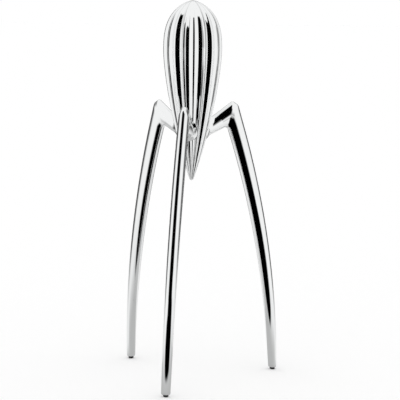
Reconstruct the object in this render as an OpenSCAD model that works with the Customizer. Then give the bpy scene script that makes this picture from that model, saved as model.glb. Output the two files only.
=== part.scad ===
// Citrus press juicer: a fluted teardrop head carried by three knee-bent, tapering legs.
// Millimetres, +Z up. The origin is on the head's axis, on the plane that the feet stand on.
// One leg points to -Y and the others follow at equal angles.

/* [Head] */
// Height of the crown above the floor
head_top_z = 290; // [275:1:310]
// Height of the widest section
head_wide_z = 252; // [246:1:258]
// Height of the rounded drip tip
head_tip_z = 153; // [151:0.5:160]
// Height at which the straight taper of the tip would close
head_point_z = 150; // [140:0.5:150.5]
// Radius over the ridges at the widest section
head_r = 22.35; // [21:0.05:25]
// How late the crown turns in, as the power of the height
crown_power = 2.82; // [2:0.02:3.2]
// How blunt the crown is, as a power (0.5 is an ellipse)
crown_bluntness = 0.632; // [0.5:0.002:0.7]
// How late the lower body turns in, as the power of the height
body_power = 1.466; // [1.3:0.002:1.7]
// How straight the lower taper is, as a power (1 is a straight cone)
body_bluntness = 0.929; // [0.85:0.001:1]

/* [Flutes] */
// Number of flutes round the head
flute_count = 18; // [14:1:20]
// Depth of a flute below its ridges at the widest section
flute_depth = 1.7; // [0.8:0.05:2.4]
// How hollow a flute's walls are, as a power (1 is a plain vee, below 1 the walls bulge)
flute_hollow = 0.85; // [0.7:0.05:2]
// Angle from the front leg to the first ridge
flute_turn = 13; // [0:0.5:20]

/* [Legs] */
// Distance from the head's axis to the bow's outermost point
leg_reach = 67.6; // [62:0.1:80]
// Radius of the bow that the middle of a leg follows
leg_bow_r = 690; // [600:5:900]
// Depth below the floor at which the bow would stand upright
leg_bow_drop = 14; // [0:1:25]
// Sideways lean of a leg, in degrees
leg_lean = 1.5; // [-3:0.1:3]
// Half the depth of a leg at the foot, towards the axis
foot_half_depth = 3.1; // [2.8:0.05:4]
// Half the width of a leg at the foot
foot_half_width = 3.5; // [2.8:0.05:4]
// Half the depth of a leg below the knee
knee_half_depth = 6.65; // [5.5:0.05:7.5]
// Half the width of a leg below the knee
knee_half_width = 4.3; // [3.6:0.05:5]
// Rounding of the leg's end above the foot tip
leg_end_round = 1.1; // [0.5:0.05:1.2]

/* [Knees and arms] */
// Height of the inner end of the knee, on the leg's middle line
crotch_z = 193; // [188:0.5:196]
// Radius inside the knee
crotch_r = 2.7; // [2:0.1:4]
// Distance from the head's axis to the peak of the knee
knee_peak_x = 33.1; // [31:0.1:35]
// Height of the peak of the knee
knee_peak_z = 213.1; // [210:0.1:216]
// Slope of the small facet that falls outwards from the peak
knee_facet_slope = 32; // [20:1:40]
// Slope of the arm's top edge
arm_top_slope = 34.5; // [30:0.5:38]
// Slope of the arm's underside
arm_under_slope = 23.5; // [20:0.5:28]
// Half the width of an arm where it meets the head
root_half_width = 5; // [4.4:0.1:6]
// How far the root flares out onto the head
root_flare = 1.5; // [0:0.1:2]
// Length of the flare along the arm
root_flare_length = 4; // [2:0.5:6]
// Gap between an arm's root and the head
root_gap = 0.1; // [0.05:0.01:0.2]

/* [Dowels] */
// Diameter of the dowel that carries a leg
dowel_d = 5; // [4:0.1:6]
// Length of the dowel, half in the head and half in the arm
dowel_length = 15; // [12:0.5:16]
// Chamfer at the dowel's ends
dowel_chamfer = 0.5; // [0.3:0.1:1]
// Radial clearance round the dowel
dowel_clearance = 0.05; // [0.02:0.01:0.1]
// Clearance past each end of the dowel
dowel_end_gap = 0.4; // [0.2:0.1:1]

/* [Foot tips] */
// Diameter of the disc that stands on the floor
tip_d = 4; // [3.4:0.1:4.4]
// Thickness of the disc
tip_height = 1.6; // [1.2:0.1:2.5]
// Rounding of the disc's lower edge
tip_round = 0.5; // [0.2:0.1:0.8]
// Diameter of the peg that holds the tip in the leg
peg_d = 2.4; // [2:0.1:2.8]
// Length of the peg
peg_length = 6; // [4:0.5:8]
// Radial clearance round the peg
peg_clearance = 0.05; // [0.02:0.01:0.1]
// Clearance past the peg's end
peg_end_gap = 0.4; // [0.2:0.1:1]

/* [Hidden] */

FRONT = 0;
RIGHT = 1;
LEFT = 2;

LEG_STEP = 120;

// Number of steps that each surface is made of
flute_steps = 4;
crown_rings = 13;
body_rings = 24;
tip_rings = 3;
leg_sides = 20;
arm_rings = 12;
peak_rings = 5;
facet_rings = 3;
shin_rings = 5;
leg_rings = 22;
end_rings = 4;
round_facets = 48;

OVERSHOOT = 1;
FAR = 1e6;

function leg_angle(which) = -90 + which * LEG_STEP;
function unit(v) = v / norm(v);
function lerp(a, b, t) = a + (b - a) * t;
function cross2(a, b) = a[0] * b[1] - a[1] * b[0];
function steps(n) = [for (i = [0:n]) i / n];

// ---- The head's surface ----

function crown_radius(z) =
    head_r * pow(1 - pow((z - head_wide_z) / (head_top_z - head_wide_z), crown_power), crown_bluntness);

function taper_radius(z) =
    head_r * pow(1 - pow((head_wide_z - z) / (head_wide_z - head_point_z), body_power), body_bluntness);

// The tip is a ball that touches the taper from inside.
taper_step = (head_wide_z - head_tip_z) / 100;
tip_taper = atan((taper_radius(head_tip_z + taper_step) - taper_radius(head_tip_z)) / taper_step);
tip_ball_r = taper_radius(head_tip_z) * cos(tip_taper) / (1 - sin(tip_taper));
tip_ball_h = tip_ball_r * (1 - sin(tip_taper));

function ball_radius(h) = sqrt(h * (2 * tip_ball_r - h));

function head_radius(z) =
    z > head_wide_z ? crown_radius(z)
    : z > head_tip_z + tip_ball_h ? taper_radius(z)
    : ball_radius(z - head_tip_z);

// A flute sinks between two ridges, on a head of radius 1.
flute_half = 180 / flute_count;
flute_sink = flute_depth / head_r;

function flute_share(a) = 1 - flute_sink * (1 - pow(abs(a) / flute_half, flute_hollow));

head_sides = flute_count * flute_steps;
side_angle = 360 / head_sides;

function head_point(i, z, grow = 0) =
    let (within = (i % flute_steps + flute_steps) % flute_steps,
         r = head_radius(z) * flute_share(within * side_angle - flute_half) + grow,
         a = leg_angle(FRONT) + flute_turn + i * side_angle)
    [r * cos(a), r * sin(a), z];

crown_heights = [for (i = [1:crown_rings]) lerp(head_wide_z, head_top_z, cos(90 * i / crown_rings))];
body_heights = [for (i = [1:body_rings]) lerp(head_wide_z, head_tip_z + tip_ball_h, i / body_rings)];
tip_heights = [for (i = [1:tip_rings]) head_tip_z + tip_ball_h * (1 - sin(90 * i / (tip_rings + 1)))];
head_heights = concat(crown_heights, body_heights, tip_heights);

// ---- The outline of a leg and its arm, in the upright plane [outwards, up] ----

leg_end_z = tip_height;
bow_end = asin((leg_end_z + leg_bow_drop) / leg_bow_r);
bow_knee = asin((crotch_z + leg_bow_drop) / leg_bow_r);

function bow_point(b) = [leg_reach - leg_bow_r * (1 - cos(b)), leg_bow_r * sin(b) - leg_bow_drop];
function bow_normal(b) = [cos(b), sin(b)];
function bow_share(b) = (b - bow_end) / (bow_knee - bow_end);

DEPTH_POWER = 0.7;
WIDTH_POWER = 3;
function half_depth(b) = lerp(foot_half_depth, knee_half_depth, pow(bow_share(b), DEPTH_POWER));
function half_width(b) = lerp(foot_half_width, knee_half_width, 1 - pow(1 - bow_share(b), WIDTH_POWER));

function inner_point(b) = bow_point(b) - half_depth(b) * bow_normal(b);
function outer_point(b) = bow_point(b) + half_depth(b) * bow_normal(b);

crotch_centre = inner_point(bow_knee) - crotch_r * bow_normal(bow_knee);
under_direction = [cos(arm_under_slope), sin(arm_under_slope)];
under_normal = [-sin(arm_under_slope), cos(arm_under_slope)];
under_start = crotch_centre + crotch_r * under_normal;

knee_peak = [knee_peak_x, knee_peak_z];
top_direction = [cos(arm_top_slope), sin(arm_top_slope)];
facet_direction = [cos(knee_facet_slope), -sin(knee_facet_slope)];
shin_start = outer_point(bow_knee);
shin_direction = unit(shin_start - outer_point(bow_knee - 0.5));

// Distance from p along direction d to the line through q along direction e
function line_hit(p, d, q, e) =
    let (s = cross2(q - p, e) / cross2(d, e))
    s > 0 ? s : FAR;

function outline_distance(p, d) = min(
    line_hit(p, d, knee_peak, top_direction),
    line_hit(p, d, knee_peak, facet_direction),
    line_hit(p, d, shin_start, shin_direction));

// Where the line of the arm's underside meets the axis, and where its middle line meets the head
axis_under_z = under_start[1] - under_start[0] * tan(arm_under_slope);
arm_middle_slope = (arm_top_slope + arm_under_slope) / 2;
arm_direction = [cos(arm_middle_slope), sin(arm_middle_slope)];
mid_start = under_start + under_normal * outline_distance(under_start, under_normal) / 2;

function on_arm(x) = mid_start + arm_direction * (x - mid_start[0]) / arm_direction[0];
function seat_x(x, tries) = tries == 0 ? x : seat_x(head_radius(on_arm(x)[1]), tries - 1);
seat = on_arm(seat_x(head_r / 2, 12));
arm_reach = (under_start[0] - seat[0]) / under_direction[0];

// A section is [inner point, outer point, half width]; sections run from inside the head to the foot.
ROOT_OVERLAP = 4;
arm_sections = [for (t = steps(arm_rings))
    let (away = (arm_reach + ROOT_OVERLAP) * (1 - t),
         p = under_start - away * under_direction)
    [p, p + under_normal * outline_distance(p, under_normal),
     lerp(knee_half_width, root_half_width, away / arm_reach)]];

fan_start = 90 + arm_under_slope;
fan_peak = atan2(knee_peak[1] - crotch_centre[1], knee_peak[0] - crotch_centre[0]);
shin_corner = knee_peak + facet_direction * line_hit(knee_peak, facet_direction, shin_start, shin_direction);
fan_corner = atan2(shin_corner[1] - crotch_centre[1], shin_corner[0] - crotch_centre[0]);
fan_angles = concat(
    [for (t = steps(peak_rings)) if (t > 0) lerp(fan_start, fan_peak, t)],
    [for (t = steps(facet_rings)) if (t > 0) lerp(fan_peak, fan_corner, t)],
    [for (t = steps(shin_rings)) if (t > 0 && t < 1) lerp(fan_corner, bow_knee, t)]);
knee_sections = [for (a = fan_angles)
    let (d = [cos(a), sin(a)])
    [crotch_centre + crotch_r * d, crotch_centre + outline_distance(crotch_centre, d) * d, knee_half_width]];

// The bow's sections stop a little above the rounding of the leg's end.
end_step = leg_end_round / 2;
bow_last = asin((leg_end_z + leg_end_round + end_step + leg_bow_drop) / leg_bow_r);
leg_sections = [for (t = steps(leg_rings))
    let (b = lerp(bow_knee, bow_last, t))
    [inner_point(b), outer_point(b), half_width(b)]];

// The last sections lie flat and draw in round the leg's end.
end_sections = [for (i = [0:end_rings])
    let (a = 90 * i / end_rings,
         inset = leg_end_round * (1 - cos(a)),
         z = leg_end_z + leg_end_round * (1 - sin(a)),
         x = bow_point(bow_end)[0])
    [[x - foot_half_depth + inset, z], [x + foot_half_depth - inset, z], foot_half_width - inset]];

all_sections = concat(arm_sections, knee_sections, leg_sections, end_sections);

// The lean carries each height of a leg sideways from the root.
function lean_shift(z) = tan(leg_lean) * (z - seat[1]);
foot_middle = [bow_point(bow_end)[0], lean_shift(leg_end_z), 0];

function flare_at(p) =
    p[2] < head_tip_z || p[2] > head_wide_z ? 0
    : let (clear = norm([p[0], p[1]]) - head_radius(p[2]))
      root_flare * pow(max(0, min(1, 1 - clear / root_flare_length)), 2);

function section_points(s) =
    let (middle = (s[0] + s[1]) / 2,
         half = (s[1] - s[0]) / 2)
    [for (i = [0:leg_sides - 1])
        let (a = 360 * i / leg_sides,
             off = [half[0] * cos(a), s[2] * sin(a), half[1] * cos(a)],
             p = [middle[0], lean_shift(middle[1] + off[2]), middle[1]] + off)
        p + unit(off) * flare_at(p)];

function section_middle(s) =
    let (m = (s[0] + s[1]) / 2)
    [m[0], lean_shift(m[1]), m[1]];

// A closed skin over rings of equal length, closed at both ends on a point.
module skin(rings, first, last) {
    n = len(rings[0]);
    m = len(rings);
    points = concat([for (ring = rings) each ring], [first, last]);
    sides = [for (k = [0:m - 2], i = [0:n - 1])
        let (a = k * n + i,
             b = k * n + (i + 1) % n,
             c = a + n,
             d = b + n)
        each [[a, b, c], [b, d, c]]];
    caps = [for (i = [0:n - 1])
        let (j = (i + 1) % n)
        each [[m * n, j, i], [m * n + 1, (m - 1) * n + i, (m - 1) * n + j]]];
    polyhedron(points, concat(sides, caps));
}

module head_skin() {
    skin([for (z = head_heights) [for (i = [0:head_sides - 1]) head_point(i, z)]],
         [0, 0, head_top_z], [0, 0, head_tip_z]);
}

// The part of the head that an arm's root is shaped to, grown by the root's gap. It spreads past
// the root to each side, starts below the arm's underside and is filled in behind the head's axis.
SEAT_MARGIN = 3;
root_reach = root_half_width + root_flare + SEAT_MARGIN;
seat_spread = asin(root_reach / seat[0]);
module head_seat(which) {
    outwards = leg_angle(which);
    turn = outwards - leg_angle(FRONT) - flute_turn;
    first = round((turn - seat_spread) / side_angle);
    count = round(2 * seat_spread / side_angle);
    heights = [for (z = head_heights) if (z > axis_under_z - root_reach && z < knee_peak_z) z];
    back = [for (side = [-1, 1]) [
        -head_r * cos(outwards) - side * root_reach * sin(outwards),
        -head_r * sin(outwards) + side * root_reach * cos(outwards)]];
    rings = [for (z = heights) concat(
        [for (side = [1, 0]) [back[side][0], back[side][1], z]],
        [for (i = [0:count]) head_point(first + i, z, root_gap)])];
    skin(rings, [0, 0, heights[0]], [0, 0, heights[len(heights) - 1]]);
}

// ---- Dowels and foot tips ----

module at_leg(which) {
    rotate([0, 0, leg_angle(which)]) children();
}

module at_seat(which) {
    at_leg(which)
        translate([seat[0], 0, seat[1]])
            rotate([0, 90 - arm_middle_slope, 0])
                children();
}

module dowel_bore(which) {
    bore_length = dowel_length + 2 * dowel_end_gap;
    at_seat(which)
        cylinder(d = dowel_d + 2 * dowel_clearance, h = bore_length, center = true, $fn = round_facets);
}

module chamfered_pin(d, length, chamfer) {
    r = d / 2;
    rotate_extrude($fn = round_facets)
        polygon([[0, 0], [r - chamfer, 0], [r, chamfer], [r, length - chamfer],
                 [r - chamfer, length], [0, length]]);
}

module dowel(which) {
    color("gray")
        at_seat(which)
            translate([0, 0, -dowel_length / 2])
                chamfered_pin(dowel_d, dowel_length, dowel_chamfer);
}

module peg_bore() {
    translate([foot_middle[0], foot_middle[1], -OVERSHOOT])
        cylinder(d = peg_d + 2 * peg_clearance,
                 h = OVERSHOOT + tip_height + peg_length + peg_end_gap, $fn = round_facets);
}

module foot_tip(which) {
    r = tip_d / 2;
    edge = [for (a = [0:15:90]) [r - tip_round + tip_round * sin(a), tip_round * (1 - cos(a))]];
    color("#1c1c1e")
        at_leg(which)
            translate(foot_middle)
                rotate_extrude($fn = round_facets)
                    polygon(concat([[0, 0]], edge,
                        [[r, tip_height], [peg_d / 2, tip_height],
                         [peg_d / 2, tip_height + peg_length], [0, tip_height + peg_length]]));
}

// ---- Castings ----

module squeezer_head() {
    color("silver")
        difference() {
            head_skin();
            for (which = [FRONT, RIGHT, LEFT]) dowel_bore(which);
        }
}

module leg(which) {
    color("silver")
        difference() {
            at_leg(which)
                skin([for (s = all_sections) section_points(s)],
                     section_middle(all_sections[0]),
                     section_middle(all_sections[len(all_sections) - 1]));
            head_seat(which);
            dowel_bore(which);
            at_leg(which) peg_bore();
        }
}

squeezer_head();
leg(FRONT);  // front_leg
leg(RIGHT);  // right_leg
leg(LEFT);  // left_leg
dowel(FRONT);  // front_leg_dowel
dowel(RIGHT);  // right_leg_dowel
dowel(LEFT);  // left_leg_dowel
foot_tip(FRONT);  // front_foot_tip
foot_tip(RIGHT);  // right_foot_tip
foot_tip(LEFT);  // left_foot_tip
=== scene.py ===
"""Citrus press juicer: mirror-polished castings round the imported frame.

The head is grown by a Geometry Nodes tree, the legs by a skin over sections, and both follow the
same outlines as the solids that they stand for. Sizes are in millimetres until a mesh is made.
"""

import math

import bpy
from mathutils import Matrix, Vector


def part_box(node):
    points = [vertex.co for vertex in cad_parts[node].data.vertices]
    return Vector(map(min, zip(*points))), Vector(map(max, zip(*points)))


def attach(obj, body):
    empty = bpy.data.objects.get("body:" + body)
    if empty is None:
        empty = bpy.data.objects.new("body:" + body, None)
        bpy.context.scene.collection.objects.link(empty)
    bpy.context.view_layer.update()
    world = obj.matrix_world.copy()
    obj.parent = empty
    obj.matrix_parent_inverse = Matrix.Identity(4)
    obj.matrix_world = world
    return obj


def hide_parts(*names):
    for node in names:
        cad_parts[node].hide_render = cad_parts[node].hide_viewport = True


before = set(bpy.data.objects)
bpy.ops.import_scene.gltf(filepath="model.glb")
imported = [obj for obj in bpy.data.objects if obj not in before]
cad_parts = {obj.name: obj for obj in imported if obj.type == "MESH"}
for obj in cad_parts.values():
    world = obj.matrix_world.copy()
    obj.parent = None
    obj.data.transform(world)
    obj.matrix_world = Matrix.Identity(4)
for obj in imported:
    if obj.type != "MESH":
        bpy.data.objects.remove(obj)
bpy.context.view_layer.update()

MM = 0.001


# ---- Small helpers ----

def linear(hex_colour):
    """A hex sRGB colour as a linear RGBA colour."""
    parts = [int(hex_colour[i:i + 2], 16) / 255 for i in (1, 3, 5)]
    return [c / 12.92 if c <= 0.04045 else ((c + 0.055) / 1.055) ** 2.4 for c in parts] + [1.0]


def add_node(tree, kind, *inputs, **settings):
    """Adds a node, sets its properties, links or fills its inputs in order, and returns its outputs.

    None leaves an input as it is.
    """
    node = tree.nodes.new(kind)
    for name, value in settings.items():
        setattr(node, name, value)
    for socket, value in zip(node.inputs, inputs):
        if isinstance(value, bpy.types.NodeSocket):
            tree.links.new(value, socket)
        elif value is not None:
            socket.default_value = value
    return node.outputs


MATH = "ShaderNodeMath"
RANGE = "ShaderNodeMapRange"
SOFT = "SMOOTHSTEP"


def lerp(a, b, t):
    return a + (b - a) * t


def smooth_min(a, b, reach):
    """The smaller of two numbers, rounded over where they lie within reach of each other."""
    h = max(reach - abs(a - b), 0.0) / reach
    return min(a, b) - h * h * reach / 4


def radians(*degrees):
    return [math.radians(angle) for angle in degrees]


def metres(*lengths):
    return [length * MM for length in lengths]


def add_object(name, data):
    item = bpy.data.objects.new(name, data)
    bpy.context.scene.collection.objects.link(item)
    return item


# ---- Sizes of the head ----

head_low, head_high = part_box("squeezer_head")
HEAD_TIP_Z = head_low.z / MM
HEAD_TOP_Z = head_high.z / MM
HEAD_WIDE_Z = 252.0
HEAD_POINT_Z = 150.0
HEAD_R = 22.35
CROWN_POWER = 2.82
CROWN_BLUNTNESS = 0.632
BODY_POWER = 1.466
BODY_BLUNTNESS = 0.929
# The flutes. A flute's walls rise with the slope FLUTE_WALL from its valley and steepen outwards, by
# RIDGE_STEEPENING if they ran on to the middle of a ridge. They stop at the head's radius, which leaves
# narrow flat ridges. Valley and ridges are rounded over by small shares of that radius.
FLUTE_COUNT = 18
FLUTE_DEPTH = 1.75
FLUTE_WALL = 0.433
RIDGE_STEEPENING = 2.03
SWELL_POWER = 6.0
FLUTE_SWELL = RIDGE_STEEPENING / SWELL_POWER
FLUTE_ROUND = 0.0024
RIDGE_ROUND = 0.0023
FLUTE_TURN = math.radians(13.4 - 90)
# The head's mesh
FLUTE_COLUMNS = 48
HEAD_COLUMNS = FLUTE_COUNT * FLUTE_COLUMNS
HEAD_ROWS = 114
RIDGE_CROWDING = 0.5
SEAM_REACH = 0.001

FLUTE_HALF = math.pi / FLUTE_COUNT
FLUTE_BOTTOM = 1 - FLUTE_DEPTH / HEAD_R - FLUTE_HALF * FLUTE_ROUND


def taper_radius(z):
    """Radius of the taper below the widest height, before the ball that rounds off its tip."""
    closing = (HEAD_WIDE_Z - z) / (HEAD_WIDE_Z - HEAD_POINT_Z)
    return HEAD_R * (1 - closing ** BODY_POWER) ** BODY_BLUNTNESS


# The ball that rounds off the tip: it rests on the tip's height and touches the taper, which is nearly
# straight there
TAPER_STEP = 0.1
tip_slope = math.atan((taper_radius(HEAD_TIP_Z + TAPER_STEP) - taper_radius(HEAD_TIP_Z)) / TAPER_STEP)
TIP_BALL_R = taper_radius(HEAD_TIP_Z) * math.cos(tip_slope) / (1 - math.sin(tip_slope))
TIP_BALL_H = TIP_BALL_R * (1 - math.sin(tip_slope))


def head_radius(z):
    """Radius over the ridges at height z."""
    if z > HEAD_WIDE_Z:
        rise = (z - HEAD_WIDE_Z) / (HEAD_TOP_Z - HEAD_WIDE_Z)
        return HEAD_R * (1 - min(rise, 1) ** CROWN_POWER) ** CROWN_BLUNTNESS
    if z > HEAD_TIP_Z + TIP_BALL_H:
        return taper_radius(z)
    height = max(z - HEAD_TIP_Z, 0)
    return math.sqrt(height * (2 * TIP_BALL_R - height))


def flute_share(angle):
    """Radius at an angle round the head, as a share of the radius over the ridges."""
    turn = (angle - FLUTE_TURN) * FLUTE_COUNT / math.tau
    out = 2 * abs(turn - math.floor(turn) - 0.5)
    swell = FLUTE_SWELL * out ** SWELL_POWER
    cut = FLUTE_BOTTOM + FLUTE_HALF * (math.hypot(FLUTE_ROUND, FLUTE_WALL * out) + swell)
    return smooth_min(1.0, cut, RIDGE_ROUND)


def head_clearance(point):
    """Distance from a point to the head's surface, measured level from the axis."""
    surface = head_radius(point[2]) * flute_share(math.atan2(point[1], point[0]))
    return math.hypot(point[0], point[1]) - surface


# ---- Sizes of a leg, in its upright plane (outwards, up) ----

FOOT_TIP_HEIGHT = 1.6
LEG_END_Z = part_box("front_foot_tip")[0].z / MM + FOOT_TIP_HEIGHT
LEG_REACH = 67.6
LEG_BOW_R = 690.0
LEG_BOW_DROP = 14.0
LEG_LEAN = math.tan(math.radians(1.5))
FOOT_HALF_DEPTH = 3.1
FOOT_HALF_WIDTH = 3.5
KNEE_HALF_DEPTH = 6.65
KNEE_HALF_WIDTH = 4.3
DEPTH_POWER = 0.7
WIDTH_POWER = 3
LEG_END_ROUND = 1.1
BOW_STOP = LEG_END_ROUND * 1.2
CROTCH_Z = 193.0
CROTCH_R = 2.7
KNEE_PEAK = Vector((33.1, 213.1))
KNEE_FACET_SLOPE = math.radians(32)
ARM_TOP_SLOPE = math.radians(34.5)
ARM_UNDER_SLOPE = math.radians(23.5)
KNEE_ROUND = 1.2
ROOT_HALF_WIDTH = 5.0
ROOT_FLARE = 1.5
ROOT_FLARE_LENGTH = 4.0
ROOT_GAP = 0.1
LEG_ANGLES = {"front": math.radians(-90), "right": math.radians(30), "left": math.radians(150)}

# The legs' mesh
LEG_SIDES = 64
ARM_RINGS = 40
FAN_RINGS = 70
BOW_RINGS = 170
END_RINGS = 8

# For working out the outlines: a short turn along the bow, the distance given to a line that is never
# hit, how many steps it takes to find a seat and a root, and how far past its seat a root is looked for
SHORT_TURN = math.radians(0.5)
NEVER_HIT = 1e3
SEAT_TRIES = 12
ROOT_TRIES = 30
ROOT_OVERLAP = 8

BOW_END = math.asin((LEG_END_Z + LEG_BOW_DROP) / LEG_BOW_R)
BOW_LAST = math.asin((LEG_END_Z + BOW_STOP + LEG_BOW_DROP) / LEG_BOW_R)
BOW_KNEE = math.asin((CROTCH_Z + LEG_BOW_DROP) / LEG_BOW_R)


def direction(angle):
    return Vector((math.cos(angle), math.sin(angle)))


def bow_point(b):
    """A point on the shin's middle line, which is an arc."""
    return Vector((LEG_REACH - LEG_BOW_R * (1 - math.cos(b)), LEG_BOW_R * math.sin(b) - LEG_BOW_DROP))


def bow_share(b):
    """0 at the foot, 1 at the knee."""
    return (b - BOW_END) / (BOW_KNEE - BOW_END)


def half_depth(b):
    """Half of the leg's thickness, in its upright plane."""
    return lerp(FOOT_HALF_DEPTH, KNEE_HALF_DEPTH, bow_share(b) ** DEPTH_POWER)


def half_width(b):
    """Half of the leg's width, across its upright plane."""
    return lerp(FOOT_HALF_WIDTH, KNEE_HALF_WIDTH, 1 - (1 - bow_share(b)) ** WIDTH_POWER)


def cross(a, b):
    return a.x * b.y - a.y * b.x


def line_hit(p, d, q, e):
    """Distance from p along d to the line through q along e. A line behind p counts as never hit."""
    s = cross(q - p, e) / cross(d, e)
    return s if s > 0 else NEVER_HIT


# Where the shin's outer outline reaches the knee, and the way it runs there
shin_start = bow_point(BOW_KNEE) + half_depth(BOW_KNEE) * direction(BOW_KNEE)
below = BOW_KNEE - SHORT_TURN
shin_direction = (shin_start - bow_point(below) - half_depth(below) * direction(below)).normalized()
# The round inside the knee, and the arm's underside that runs on from it
crotch_centre = bow_point(BOW_KNEE) - (half_depth(BOW_KNEE) + CROTCH_R) * direction(BOW_KNEE)
under_direction = direction(ARM_UNDER_SLOPE)
under_normal = direction(ARM_UNDER_SLOPE + math.pi / 2)
under_start = crotch_centre + CROTCH_R * under_normal


def outline_distance(p, d):
    """Distance from a point inside the leg to its outer outline, rounded over at the knee's corners."""
    top = line_hit(p, d, KNEE_PEAK, direction(ARM_TOP_SLOPE))
    facet = line_hit(p, d, KNEE_PEAK, direction(-KNEE_FACET_SLOPE))
    shin = line_hit(p, d, shin_start, shin_direction)
    return smooth_min(smooth_min(top, facet, KNEE_ROUND), shin, KNEE_ROUND)


# Where the arm's middle line meets the head
middle_slope = (ARM_TOP_SLOPE + ARM_UNDER_SLOPE) / 2
mid_start = under_start + under_normal * outline_distance(under_start, under_normal) / 2
seat_x = HEAD_R / 2
for attempt in range(SEAT_TRIES):
    seat_z = mid_start.y + (seat_x - mid_start.x) * math.tan(middle_slope)
    seat_x = head_radius(seat_z)
arm_reach = (under_start.x - seat_x) / under_direction.x


def lean_shift(z):
    """How far the leg leans aside at height z."""
    return LEG_LEAN * (z - seat_z)


def section_point(section, i):
    """Point i round a section (inner point, outer point, half width), and its way out from the middle."""
    inner, outer, width = section
    middle = (inner + outer) / 2
    half = (outer - inner) / 2
    a = math.tau * i / LEG_SIDES
    off = Vector((half.x * math.cos(a), width * math.sin(a), half.y * math.cos(a)))
    return Vector((middle.x, lean_shift(middle.y + off.z), middle.y)) + off, off.normalized()


def arm_section(away):
    """The arm's section at a distance from the knee."""
    p = under_start - away * under_direction
    width = lerp(KNEE_HALF_WIDTH, ROOT_HALF_WIDTH, away / arm_reach)
    return p, p + under_normal * outline_distance(p, under_normal), width


def arm_point(away, i, turn):
    """Point i of the arm, flared out where it comes close to the head, in the whole object's frame."""
    point, outwards = section_point(arm_section(away), i)
    point = turn @ point
    clear = head_clearance(point) / ROOT_FLARE_LENGTH
    flare = ROOT_FLARE * max(0.0, min(1.0, 1 - clear)) ** 2
    return point + (turn @ outwards) * flare


def root_reach(i, turn):
    """How far side i of the arm runs from the knee before it meets the head."""
    near, far = 0.0, arm_reach + ROOT_OVERLAP
    for attempt in range(ROOT_TRIES):
        middle = (near + far) / 2
        if head_clearance(arm_point(middle, i, turn)) > ROOT_GAP:
            near = middle
        else:
            far = middle
    return near


def fan_sections():
    """Sections that turn round the inside of the knee, from the arm to the shin."""
    start = ARM_UNDER_SLOPE + math.pi / 2
    for step in range(1, FAN_RINGS):
        d = direction(lerp(start, BOW_KNEE, step / FAN_RINGS))
        outer = crotch_centre + outline_distance(crotch_centre, d) * d
        yield crotch_centre + CROTCH_R * d, outer, KNEE_HALF_WIDTH


def bow_sections():
    """Sections square to the shin's middle line, from the knee to just above its lower end."""
    for step in range(BOW_RINGS + 1):
        b = lerp(BOW_KNEE, BOW_LAST, step / BOW_RINGS)
        n = direction(b) * half_depth(b)
        yield bow_point(b) - n, bow_point(b) + n, half_width(b)


def end_sections():
    """Level sections that draw in round the leg's lower end."""
    x = bow_point(BOW_END).x
    for step in range(END_RINGS + 1):
        a = math.pi / 2 * step / END_RINGS
        inset = LEG_END_ROUND * (1 - math.cos(a))
        z = LEG_END_Z + LEG_END_ROUND * (1 - math.sin(a))
        yield (Vector((x - FOOT_HALF_DEPTH + inset, z)), Vector((x + FOOT_HALF_DEPTH - inset, z)),
               FOOT_HALF_WIDTH - inset)


def leg_mesh(name, angle):
    """A closed skin over the leg's sections, from its root on the head to the end over the foot tip."""
    turn = Matrix.Rotation(angle, 3, "Z")
    reaches = [root_reach(i, turn) for i in range(LEG_SIDES)]
    rings = [[arm_point(reaches[i] * (1 - step / ARM_RINGS), i, turn) for i in range(LEG_SIDES)]
             for step in range(ARM_RINGS + 1)]
    for section in [*fan_sections(), *bow_sections(), *end_sections()]:
        rings.append([turn @ section_point(section, i)[0] for i in range(LEG_SIDES)])
    points = [p * MM for ring in rings for p in ring]
    root, foot = [sum(ring, Vector()) / LEG_SIDES for ring in (rings[0], rings[-1])]
    # The middle of the root keeps the same gap to the head as its rim
    seat = math.hypot(root.x, root.y)
    scale = (seat - head_clearance(root) + ROOT_GAP) / seat
    root = Vector((root.x * scale, root.y * scale, root.z))
    first, last = len(points), len(points) + 1
    points += [root * MM, foot * MM]
    faces = []
    for k in range(len(rings) - 1):
        for i in range(LEG_SIDES):
            j = (i + 1) % LEG_SIDES
            a, b = k * LEG_SIDES, (k + 1) * LEG_SIDES
            faces.append((a + i, b + i, b + j, a + j))
    end = (len(rings) - 1) * LEG_SIDES
    for i in range(LEG_SIDES):
        j = (i + 1) % LEG_SIDES
        faces += [(first, i, j), (last, end + j, end + i)]
    mesh = bpy.data.meshes.new(name)
    mesh.from_pydata(points, [], faces)
    mesh.validate()
    mesh.shade_smooth()
    return mesh


# ---- The head, grown by Geometry Nodes ----

HEAD_INPUTS = {
    "Tip height": HEAD_TIP_Z * MM,
    "Widest height": HEAD_WIDE_Z * MM,
    "Top height": HEAD_TOP_Z * MM,
    "Point height": HEAD_POINT_Z * MM,
    "Radius": HEAD_R * MM,
    "Crown power": CROWN_POWER,
    "Crown bluntness": CROWN_BLUNTNESS,
    "Body power": BODY_POWER,
    "Body bluntness": BODY_BLUNTNESS,
    "Tip ball radius": TIP_BALL_R * MM,
    "Tip ball height": TIP_BALL_H * MM,
    "Flutes": float(FLUTE_COUNT),
    "Flute bottom": FLUTE_BOTTOM,
    "Flute half angle": FLUTE_HALF,
    "Flute wall": FLUTE_WALL,
    "Wall swell": FLUTE_SWELL,
    "Swell power": SWELL_POWER,
    "Valley round": FLUTE_ROUND,
    "Flute turn": FLUTE_TURN,
    "Ridge round": RIDGE_ROUND,
    "Ridge crowding": RIDGE_CROWDING,
}


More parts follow.
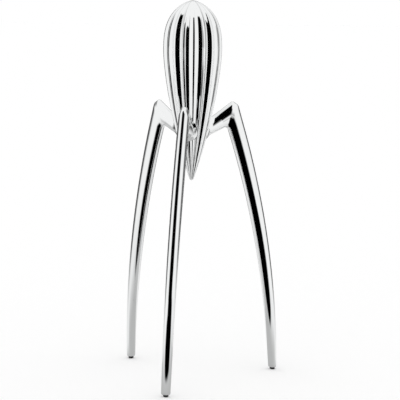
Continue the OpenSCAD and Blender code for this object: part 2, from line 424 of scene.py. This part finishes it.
def head_tree(material):
    """Bends a grid into the fluted teardrop: its X runs round the head and its Y from tip to crown."""
    tree = bpy.data.node_groups.new("fluted_teardrop", "GeometryNodeTree")
    tree.interface.new_socket("Geometry", in_out="OUTPUT", socket_type="NodeSocketGeometry")
    for name, value in HEAD_INPUTS.items():
        socket = tree.interface.new_socket(name, in_out="INPUT", socket_type="NodeSocketFloat")
        socket.default_value = value
    size = add_node(tree, "NodeGroupInput")
    grid = add_node(tree, "GeometryNodeMeshGrid", 1.0, 1.0, HEAD_COLUMNS + 1, HEAD_ROWS + 1)["Mesh"]
    place = add_node(tree, "ShaderNodeSeparateXYZ", add_node(tree, "GeometryNodeInputPosition")[0])

    # Round the head, with the columns crowded towards the ridges
    across = add_node(tree, MATH, place["X"], 0.5, operation="ADD")[0]
    even = add_node(tree, MATH, across, math.tau, operation="MULTIPLY")[0]
    phase = add_node(tree, MATH, even, size["Flutes"], operation="MULTIPLY")[0]
    wave = add_node(tree, MATH, phase, operation="SINE")[0]
    crowding = add_node(tree, MATH, wave, size["Ridge crowding"], operation="MULTIPLY")[0]
    shift = add_node(tree, MATH, crowding, size["Flutes"], operation="DIVIDE")[0]
    angle = add_node(tree, MATH, even, shift, operation="SUBTRACT")[0]

    # Up the head, with the rows crowded towards both ends
    along = add_node(tree, MATH, place["Y"], 0.5, operation="ADD")[0]
    half_turn = add_node(tree, MATH, along, math.pi, operation="MULTIPLY")[0]
    swing = add_node(tree, MATH, half_turn, operation="COSINE")[0]
    swung = add_node(tree, MATH, 1.0, swing, operation="SUBTRACT")[0]
    rise = add_node(tree, MATH, swung, 0.5, operation="MULTIPLY")[0]
    height = add_node(tree, MATH, size["Top height"], size["Tip height"], operation="SUBTRACT")[0]
    z = add_node(tree, MATH, rise, height, size["Tip height"], operation="MULTIPLY_ADD")[0]

    # The outline above the widest height
    over_wide = add_node(tree, MATH, z, size["Widest height"], operation="SUBTRACT")[0]
    crown_height = add_node(tree, MATH, size["Top height"], size["Widest height"], operation="SUBTRACT")[0]
    crown_rise = add_node(tree, MATH, over_wide, crown_height, operation="DIVIDE")[0]
    crown_power = add_node(tree, MATH, crown_rise, size["Crown power"], operation="POWER")[0]
    crown_left = add_node(tree, MATH, 1.0, crown_power, operation="SUBTRACT")[0]
    crown = add_node(tree, MATH, crown_left, size["Crown bluntness"], operation="POWER")[0]

    # The outline below it
    under_wide = add_node(tree, MATH, size["Widest height"], z, operation="SUBTRACT")[0]
    body_height = add_node(tree, MATH, size["Widest height"], size["Point height"], operation="SUBTRACT")[0]
    body_fall = add_node(tree, MATH, under_wide, body_height, operation="DIVIDE")[0]
    body_power = add_node(tree, MATH, body_fall, size["Body power"], operation="POWER")[0]
    body_left = add_node(tree, MATH, 1.0, body_power, operation="SUBTRACT")[0]
    taper = add_node(tree, MATH, body_left, size["Body bluntness"], operation="POWER")[0]

    # The ball at the tip
    over_tip = add_node(tree, MATH, z, size["Tip height"], operation="SUBTRACT")[0]
    ball_width = add_node(tree, MATH, size["Tip ball radius"], 2.0, operation="MULTIPLY")[0]
    ball_left = add_node(tree, MATH, ball_width, over_tip, operation="SUBTRACT")[0]
    ball_square = add_node(tree, MATH, over_tip, ball_left, operation="MULTIPLY")[0]
    ball = add_node(tree, MATH, ball_square, operation="SQRT")[0]

    # The whole outline
    in_crown = add_node(tree, MATH, z, size["Widest height"], operation="GREATER_THAN")[0]
    in_ball = add_node(tree, MATH, over_tip, size["Tip ball height"], operation="LESS_THAN")[0]
    body_share = add_node(tree, "GeometryNodeSwitch", in_crown, taper, crown, input_type="FLOAT")[0]
    body = add_node(tree, MATH, body_share, size["Radius"], operation="MULTIPLY")[0]
    outline = add_node(tree, "GeometryNodeSwitch", in_ball, body, ball, input_type="FLOAT")[0]

    # The flutes: walls that steepen from a narrow valley to flat ridges
    flute_angle = add_node(tree, MATH, angle, size["Flutes"], operation="MULTIPLY")[0]
    flute_turns = add_node(tree, MATH, flute_angle, math.tau, operation="DIVIDE")[0]
    in_flute = add_node(tree, MATH, flute_turns, operation="FRACT")[0]
    off_valley = add_node(tree, MATH, in_flute, 0.5, operation="SUBTRACT")[0]
    valley_distance = add_node(tree, MATH, off_valley, operation="ABSOLUTE")[0]
    out = add_node(tree, MATH, valley_distance, 2.0, operation="MULTIPLY")[0]
    climb = add_node(tree, MATH, out, size["Flute wall"], operation="MULTIPLY")[0]
    round_square = add_node(tree, MATH, size["Valley round"], size["Valley round"], operation="MULTIPLY")[0]
    wall_square = add_node(tree, MATH, climb, climb, round_square, operation="MULTIPLY_ADD")[0]
    wall = add_node(tree, MATH, wall_square, operation="SQRT")[0]
    swell_power = add_node(tree, MATH, out, size["Swell power"], operation="POWER")[0]
    swell = add_node(tree, MATH, swell_power, size["Wall swell"], operation="MULTIPLY")[0]
    wall_height = add_node(tree, MATH, wall, swell, operation="ADD")[0]
    cut = add_node(tree, MATH, wall_height, size["Flute half angle"], size["Flute bottom"],
                   operation="MULTIPLY_ADD")[0]
    share = add_node(tree, MATH, 1.0, cut, size["Ridge round"], operation="SMOOTH_MIN")[0]

    # Each point of the grid moves to its angle, radius and height
    radius = add_node(tree, MATH, outline, share, operation="MULTIPLY")[0]
    turned = add_node(tree, MATH, angle, size["Flute turn"], operation="ADD")[0]
    cosine = add_node(tree, MATH, turned, operation="COSINE")[0]
    sine = add_node(tree, MATH, turned, operation="SINE")[0]
    x = add_node(tree, MATH, radius, cosine, operation="MULTIPLY")[0]
    y = add_node(tree, MATH, radius, sine, operation="MULTIPLY")[0]
    bent = add_node(tree, "ShaderNodeCombineXYZ", x, y, z)[0]
    skin = add_node(tree, "GeometryNodeSetPosition", grid, None, bent)[0]
    closed = add_node(tree, "GeometryNodeMergeByDistance", skin, None, SEAM_REACH * MM)[0]
    smooth = add_node(tree, "GeometryNodeSetShadeSmooth", closed)[0]
    real = add_node(tree, "GeometryNodeRealizeInstances", smooth)[0]
    finished = add_node(tree, "GeometryNodeSetMaterial", real, None, material)[0]
    add_node(tree, "NodeGroupOutput", finished)
    return tree


def grow(name, tree, values):
    """Runs a Geometry Nodes tree with named input values and returns a plain mesh object."""
    host = add_object(name + "_host", bpy.data.meshes.new(name + "_host"))
    modifier = host.modifiers.new("grow", "NODES")
    modifier.node_group = tree
    for item in tree.interface.items_tree:
        if item.in_out == "INPUT":
            modifier[item.identifier] = values[item.name]
    host.update_tag()
    graph = bpy.context.evaluated_depsgraph_get()
    mesh = bpy.data.meshes.new_from_object(host.evaluated_get(graph))
    mesh.name = name
    bpy.data.objects.remove(host)
    return add_object(name, mesh)


# ---- Materials ----

# A Mix node's inputs between its factor and its two colours, and the place of its mixed colour
NO_NUMBERS = [None] * 5
MIXED_COLOUR = 2


def new_material(name):
    """A material, its node tree and its main shader."""
    material = bpy.data.materials.new(name)
    material.use_nodes = True
    return material, material.node_tree, material.node_tree.nodes["Principled BSDF"]


def surface_pattern(tree, size, detail, closeness=(1.0, 1.0, 1.0)):
    """Blots about size millimetres across on the piece's own coordinates.

    A closeness below 1 draws them out along that axis.
    """
    place = add_node(tree, "ShaderNodeTexCoord")["Object"]
    scaled = add_node(tree, "ShaderNodeMapping", place, None, None, closeness)[0]
    return add_node(tree, "ShaderNodeTexNoise", scaled, None, 1 / (size * MM), detail)["Fac"]


def polished_cast_aluminium():
    """Sand-cast aluminium buffed to a mirror.

    It is near-white and sharp in its reflections. The buffing wheel leaves shallow waves, 9 mm across,
    that bend them a little, and a haze that changes from place to place. Its fine upright lines are
    0.6 mm apart, drawn coarser than real ones so that they show.
    """
    material, tree, shader = new_material("polished_cast_aluminium")
    shader.inputs["Base Color"].default_value = linear("#F2F3F3")
    shader.inputs["Metallic"].default_value = 1.0
    haze_from, haze_to, clearest, haziest = 0.35, 0.75, 0.025, 0.055
    patches = surface_pattern(tree, size=14, detail=3)
    haze = add_node(tree, RANGE, patches, haze_from, haze_to, clearest, haziest, interpolation_type=SOFT)[0]
    tree.links.new(haze, shader.inputs["Roughness"])
    wave_strength, wave_depth = 0.6, 0.004 * MM
    wavy = surface_pattern(tree, size=9, detail=1)
    waves = add_node(tree, "ShaderNodeBump", wave_strength, wave_depth, None, wavy)[0]
    line_strength, line_depth, upright = 0.3, 0.0003 * MM, (1.0, 1.0, 0.04)
    lines = surface_pattern(tree, size=0.6, detail=2, closeness=upright)
    wheel = add_node(tree, "ShaderNodeBump", line_strength, line_depth, None, lines, waves)[0]
    tree.links.new(wheel, shader.inputs["Normal"])
    return material


def black_polyamide():
    """Moulded black polyamide: deep grey-black, softly matt, with a spark-eroded grain of 0.4 mm."""
    material, tree, shader = new_material("black_polyamide")
    grain = surface_pattern(tree, size=0.4, detail=3)
    tone = add_node(tree, "ShaderNodeMix", grain, *NO_NUMBERS, linear("#121213"), linear("#1E1E20"),
                    data_type="RGBA")[MIXED_COLOUR]
    tree.links.new(tone, shader.inputs["Base Color"])
    grain_from, grain_to, glossiest, dullest = 0.3, 0.7, 0.38, 0.55
    sheen = add_node(tree, RANGE, grain, grain_from, grain_to, glossiest, dullest, interpolation_type=SOFT)[0]
    tree.links.new(sheen, shader.inputs["Roughness"])
    grain_strength, grain_depth = 0.5, 0.02 * MM
    relief = add_node(tree, "ShaderNodeBump", grain_strength, grain_depth, None, grain)[0]
    tree.links.new(relief, shader.inputs["Normal"])
    return material


def ground_dowel_steel():
    """Ground dowel steel: grey, with fine level lines 0.5 mm apart and a patchy sheen."""
    material, tree, shader = new_material("ground_dowel_steel")
    shader.inputs["Metallic"].default_value = 1.0
    level = (0.1, 0.1, 1.0)
    lines = surface_pattern(tree, size=0.5, detail=2, closeness=level)
    tone = add_node(tree, "ShaderNodeMix", lines, *NO_NUMBERS, linear("#9C9EA0"), linear("#B4B6B8"),
                    data_type="RGBA")[MIXED_COLOUR]
    tree.links.new(tone, shader.inputs["Base Color"])
    patch_from, patch_to, glossiest, dullest = 0.3, 0.7, 0.24, 0.36
    patches = surface_pattern(tree, size=3, detail=2)
    sheen = add_node(tree, RANGE, patches, patch_from, patch_to, glossiest, dullest,
                     interpolation_type=SOFT)[0]
    tree.links.new(sheen, shader.inputs["Roughness"])
    line_strength, line_depth = 0.4, 0.005 * MM
    relief = add_node(tree, "ShaderNodeBump", line_strength, line_depth, None, lines)[0]
    tree.links.new(relief, shader.inputs["Normal"])
    return material


aluminium = polished_cast_aluminium()
polyamide = black_polyamide()
steel = ground_dowel_steel()

# ---- The pieces ----

head = grow("fluted_head", head_tree(aluminium), HEAD_INPUTS)
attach(head, "root")
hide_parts("squeezer_head")

for side, angle in LEG_ANGLES.items():
    leg = add_object(side + "_cast_leg", leg_mesh(side + "_cast_leg", angle))
    leg.data.materials.append(aluminium)
    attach(leg, "root")
    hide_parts(side + "_leg")
    for node, finish in ((side + "_leg_dowel", steel), (side + "_foot_tip", polyamide)):
        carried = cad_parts[node]
        carried.data.materials.clear()
        carried.data.materials.append(finish)

# ---- Camera ----

CAMERA_DISTANCE = 1206.77
CAMERA_HEIGHT = 326.50
CAMERA_AZIMUTH = math.radians(10.87)
CAMERA_YAW = math.radians(0.3204)
CAMERA_PITCH = math.radians(8.8945)
CAMERA_ROLL = math.radians(0.5524)
CAMERA_LENS = 142.98
CAMERA_SENSOR = 36
CAMERA_CLIP = 50

camera_data = bpy.data.cameras.new("camera")
camera_data.lens = CAMERA_LENS
camera_data.sensor_width = CAMERA_SENSOR
camera_data.clip_start = CAMERA_CLIP * MM
camera = add_object("camera", camera_data)
camera.matrix_world = (Matrix.Rotation(CAMERA_AZIMUTH, 4, "Z")
                       @ Matrix.Translation((0, -CAMERA_DISTANCE * MM, CAMERA_HEIGHT * MM))
                       @ Matrix.Rotation(-CAMERA_YAW, 4, "Z")
                       @ Matrix.Rotation(math.pi / 2 - CAMERA_PITCH, 4, "X")
                       @ Matrix.Rotation(CAMERA_ROLL, 4, "Z"))
bpy.context.scene.camera = camera

# ---- Studio ----
# The camera and the light see only white. Reflections see a white tent, the dull low back of the tent, and
# the dark room in front through the tent's opening. On the table they see painted shade: grey round the
# object and paler outwards, and dark in front past a painted edge. Directions are angles round the object,
# from the camera's side to the right, and rises are angles above the table. A pair says where a soft edge
# starts and ends.

FLOOR_HALF = 6000 * MM
TENT_TONE = 0.99

# The tent's dull back: from how far round, and up to what rise
BACK_TONE = 0.10
BACK_ROUND = radians(95, 120)
BACK_RISE = radians(8, 45)

# The tent's opening: its left and right side, and its top, which comes down towards either side
TENT_OPENING = radians(-50, -34), radians(34, 50)
ROOM_TOP, ROOM_TOP_LEFT, ROOM_TOP_RIGHT = radians(60, 36, 22)
TOP_FALL_LEFT = radians(-15, -50)
TOP_FALL_RIGHT = radians(8, 38)
ROOM_TOP_EDGE = math.radians(3)

# The table as reflections see it: painted shade, grey in the middle, paler outwards, more slowly in front
# than behind, then as the tent
TABLE_PAINTED_SHADE_TONE = 0.54
TABLE_EDGE_TONE = 0.90
TABLE_MIDDLE = 50 * MM
TABLE_PALE_FRONT, TABLE_PALE_BACK = metres(300, 110)
TABLE_CHANGE = metres(30, -30)
TABLE_TO_TENT = metres(150, 700)

# Painted shade in front of the object, seen only in reflections: its edge runs straight in front and is swept
# forwards on either side, and it is dark beyond that edge between two directions, which close in farther out
PAINTED_SHADE_FRONT = 112 * MM
PAINTED_SHADE_HALF = 50 * MM
PAINTED_SHADE_SWEEP = 0.5
PAINTED_SHADE_EDGE = metres(-12, 22)
PAINTED_SHADE_OPENING = radians(-55, -41), radians(41, 56)
PAINTED_SHADE_NARROWING = 1.25
PAINTED_SHADE_NARROWS = metres(600, 1400)


def front_opening(tree, azimuth, left, right):
    """1 towards the open front, 0 elsewhere, with a soft edge at each side."""
    past_left = add_node(tree, RANGE, azimuth, *left, 0.0, 1.0, interpolation_type=SOFT)[0]
    past_right = add_node(tree, RANGE, azimuth, *reversed(right), 0.0, 1.0, interpolation_type=SOFT)[0]
    return add_node(tree, MATH, past_left, past_right, operation="MULTIPLY")[0]


def low_wall(tree, azimuth):
    """Tone of the tent low down, from its front to its dull back."""
    aside = add_node(tree, MATH, azimuth, operation="ABSOLUTE")[0]
    return add_node(tree, RANGE, aside, *BACK_ROUND, TENT_TONE, BACK_TONE, interpolation_type=SOFT)[0]


def blend(tree, share, start, end):
    """A number that goes from start to end with share."""
    change = add_node(tree, MATH, end, start, operation="SUBTRACT")[0]
    return add_node(tree, MATH, share, change, start, operation="MULTIPLY_ADD")[0]


def white_but_for_metal(tree, tone, dark):
    """White to the camera and the light. Reflections see the tone, less what is dark."""
    lit = add_node(tree, MATH, 1.0, dark, operation="SUBTRACT")[0]
    seen = add_node(tree, MATH, tone, lit, operation="MULTIPLY")[0]
    glossy = add_node(tree, "ShaderNodeLightPath")["Is Glossy Ray"]
    reflected = add_node(tree, MATH, glossy, seen, operation="MULTIPLY")[0]
    plain = add_node(tree, MATH, 1.0, glossy, operation="SUBTRACT")[0]
    return add_node(tree, MATH, reflected, plain, operation="ADD")[0]


def add_floor():
    """The table and the floor round it, in one sheet of white paper, with painted shade that only reflections
    see.
    """
    mesh = bpy.data.meshes.new("floor")
    corners = [(-1, -1), (1, -1), (1, 1), (-1, 1)]
    mesh.from_pydata([(x * FLOOR_HALF, y * FLOOR_HALF, 0) for x, y in corners], [], [(0, 1, 2, 3)])
    plane = add_object("floor", mesh)
    plane.rotation_euler.z = CAMERA_AZIMUTH
    material, tree, shader = new_material("white_paper")
    place = add_node(tree, "ShaderNodeSeparateXYZ", add_node(tree, "ShaderNodeTexCoord")["Object"])
    forwards = add_node(tree, MATH, place["Y"], -1.0, operation="MULTIPLY")[0]
    azimuth = add_node(tree, MATH, place["X"], forwards, operation="ARCTAN2")[0]
    across_square = add_node(tree, MATH, place["X"], place["X"], operation="MULTIPLY")[0]
    forwards_square = add_node(tree, MATH, forwards, forwards, operation="MULTIPLY")[0]
    away_square = add_node(tree, MATH, across_square, forwards_square, operation="ADD")[0]
    away = add_node(tree, MATH, away_square, operation="SQRT")[0]

    # Painted shade, seen only in reflections, beyond its front edge
    across = add_node(tree, MATH, place["X"], operation="ABSOLUTE")[0]
    past_half = add_node(tree, MATH, across, PAINTED_SHADE_HALF, operation="SUBTRACT")[0]
    beside = add_node(tree, MATH, past_half, 0.0, operation="MAXIMUM")[0]
    front = add_node(tree, MATH, beside, PAINTED_SHADE_SWEEP, PAINTED_SHADE_FRONT, operation="MULTIPLY_ADD")[0]
    past_front = add_node(tree, MATH, forwards, front, operation="SUBTRACT")[0]
    past_shade_edge = add_node(tree, RANGE, past_front, *PAINTED_SHADE_EDGE, 0.0, 1.0, interpolation_type=SOFT)[0]
    narrowing = add_node(tree, RANGE, away, *PAINTED_SHADE_NARROWS, 1.0, PAINTED_SHADE_NARROWING, interpolation_type=SOFT)[0]
    narrowed = add_node(tree, MATH, azimuth, narrowing, operation="MULTIPLY")[0]
    opening = front_opening(tree, narrowed, *PAINTED_SHADE_OPENING)
    dark = add_node(tree, MATH, opening, past_shade_edge, operation="MULTIPLY")[0]

    # The table's tone in reflections: painted shade, grey near the object and paler outwards, then as the
    # tent
    pale_at = add_node(tree, RANGE, forwards, *TABLE_CHANGE, TABLE_PALE_FRONT, TABLE_PALE_BACK,
                       interpolation_type=SOFT)[0]
    near = add_node(tree, RANGE, away, TABLE_MIDDLE, pale_at, TABLE_PAINTED_SHADE_TONE, TABLE_EDGE_TONE,
                    interpolation_type=SOFT)[0]
    far = add_node(tree, RANGE, away, *TABLE_TO_TENT, 0.0, 1.0, interpolation_type=SOFT)[0]
    tone = blend(tree, far, near, low_wall(tree, azimuth))
    tree.links.new(white_but_for_metal(tree, tone, dark), shader.inputs["Base Color"])
    shader.inputs["Roughness"].default_value = 1.0
    shader.inputs["Specular IOR Level"].default_value = 0.0
    plane.data.materials.append(material)


def add_tent():
    """The world: the tent all round, and the room that its opening shows."""
    world = bpy.data.worlds.new("white_tent")
    bpy.context.scene.world = world
    world.use_nodes = True
    tree = world.node_tree
    ray = add_node(tree, "ShaderNodeTexCoord")["Generated"]
    turned = add_node(tree, "ShaderNodeVectorRotate", ray, None, None, -CAMERA_AZIMUTH,
                      rotation_type="Z_AXIS")[0]
    way = add_node(tree, "ShaderNodeSeparateXYZ", turned)
    forwards = add_node(tree, MATH, way["Y"], -1.0, operation="MULTIPLY")[0]
    azimuth = add_node(tree, MATH, way["X"], forwards, operation="ARCTAN2")[0]
    rise = add_node(tree, MATH, way["Z"], operation="ARCSINE")[0]

    # The dark room through the opening
    left_top = add_node(tree, RANGE, azimuth, *TOP_FALL_LEFT, ROOM_TOP, ROOM_TOP_LEFT,
                        interpolation_type=SOFT)[0]
    right_top = add_node(tree, RANGE, azimuth, *TOP_FALL_RIGHT, ROOM_TOP, ROOM_TOP_RIGHT,
                         interpolation_type=SOFT)[0]
    top = add_node(tree, MATH, left_top, right_top, operation="MINIMUM")[0]
    over_top = add_node(tree, MATH, rise, top, operation="SUBTRACT")[0]
    under_top = add_node(tree, RANGE, over_top, ROOM_TOP_EDGE, -ROOM_TOP_EDGE, 0.0, 1.0,
                         interpolation_type=SOFT)[0]
    opening = front_opening(tree, azimuth, *TENT_OPENING)
    dark = add_node(tree, MATH, opening, under_top, operation="MULTIPLY")[0]

    # The tent's tone
    lift = add_node(tree, RANGE, rise, *BACK_RISE, 0.0, 1.0, interpolation_type=SOFT)[0]
    tone = blend(tree, lift, low_wall(tree, azimuth), TENT_TONE)
    background = tree.nodes["Background"]
    tree.links.new(white_but_for_metal(tree, tone, dark), background.inputs["Color"])
    background.inputs["Strength"].default_value = 1.0


add_floor()
add_tent()
bpy.context.scene.view_settings.view_transform = "Standard"
